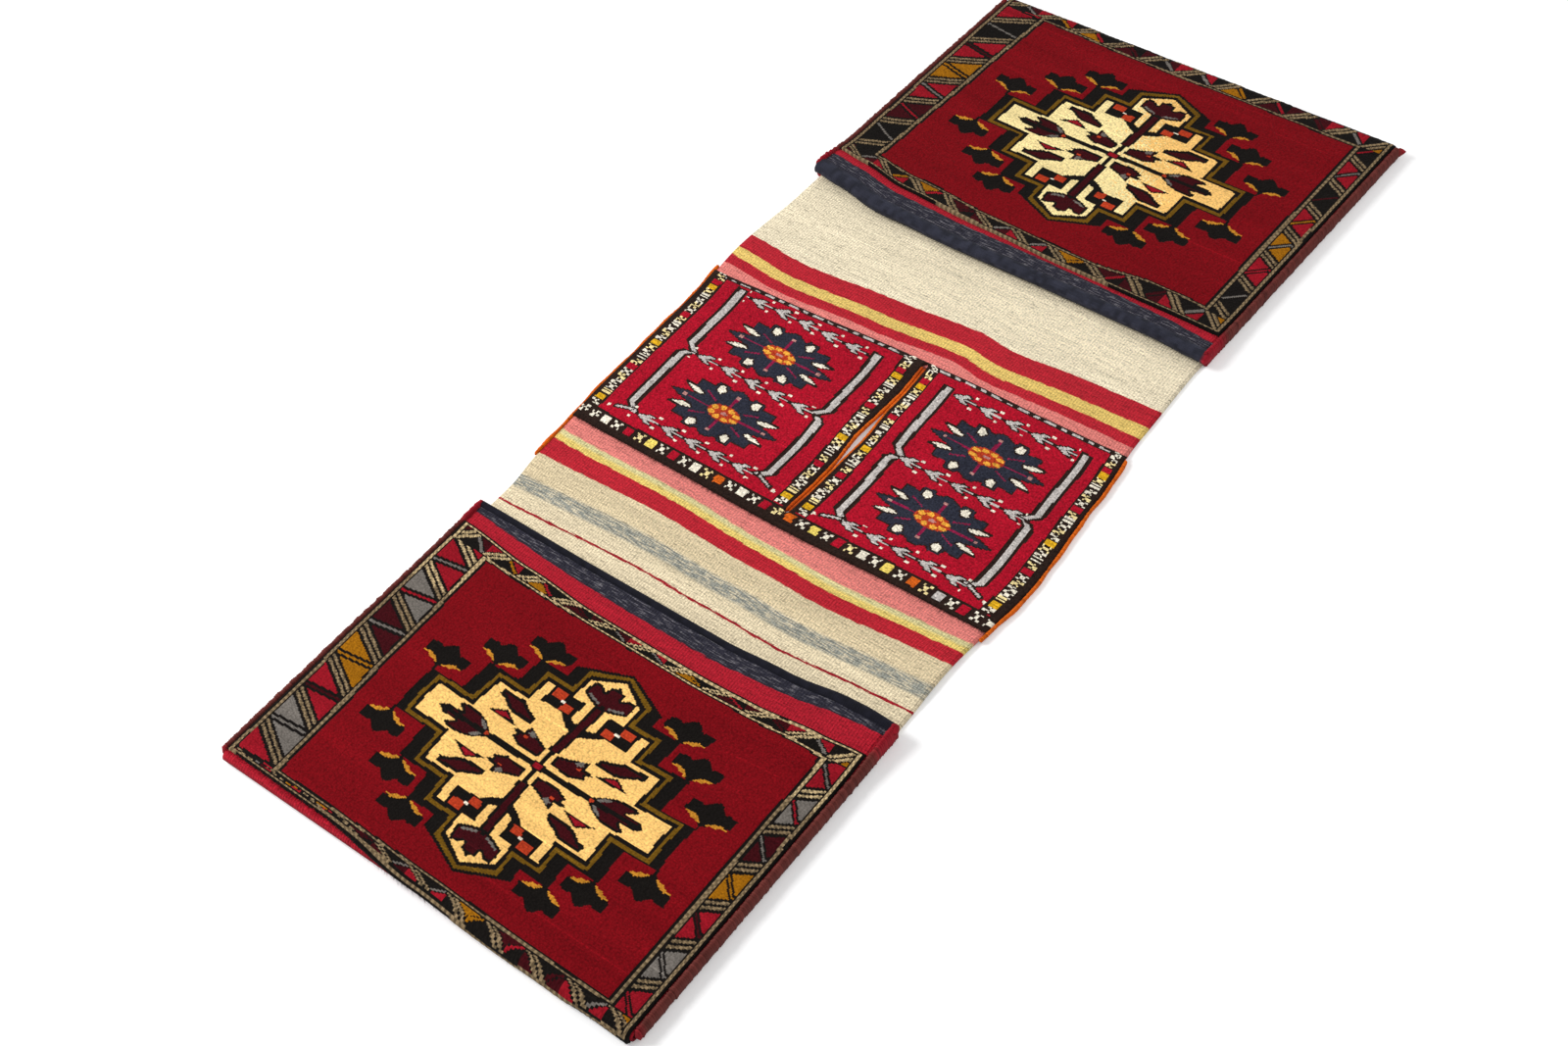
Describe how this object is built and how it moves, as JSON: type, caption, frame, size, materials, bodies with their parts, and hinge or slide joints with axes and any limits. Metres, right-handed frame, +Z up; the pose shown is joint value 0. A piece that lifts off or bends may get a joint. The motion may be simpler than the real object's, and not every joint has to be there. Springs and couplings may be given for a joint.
{
  "type": "saddle bag",
  "caption": "Double saddle bag of wool: one woven strip folded into a pouch at each end, with pile faces, a flat-woven bridge, a slit and overcast edges.",
  "frame": {"origin": "centre of the footprint of the bag lying flat, on the surface that it lies on", "axes": "+Z up from the surface, +Y along the strip from the near pouch to the far one, +X across the strip to its right side"},
  "size_m": [0.5368, 1.318, 0.0187],
  "materials": {
    "woven_wool": "hand-knotted wool pile on flat-woven wool cloth, madder red, cream, black and undyed beige",
    "maroon_wool": "maroon wool overcasting, wrapped close",
    "orange_wool": "orange wool overcasting, wrapped close"
  },
  "bodies": {
    "root": {"woven_strip": "woven_wool", "near_left_seam": "maroon_wool", "near_right_seam": "maroon_wool", "far_left_seam": "maroon_wool", "far_right_seam": "maroon_wool", "bridge_left_binding": "orange_wool", "bridge_right_binding": "orange_wool", "slit_left_binding": "orange_wool", "slit_right_binding": "orange_wool"}
  },
  "joints": []
}
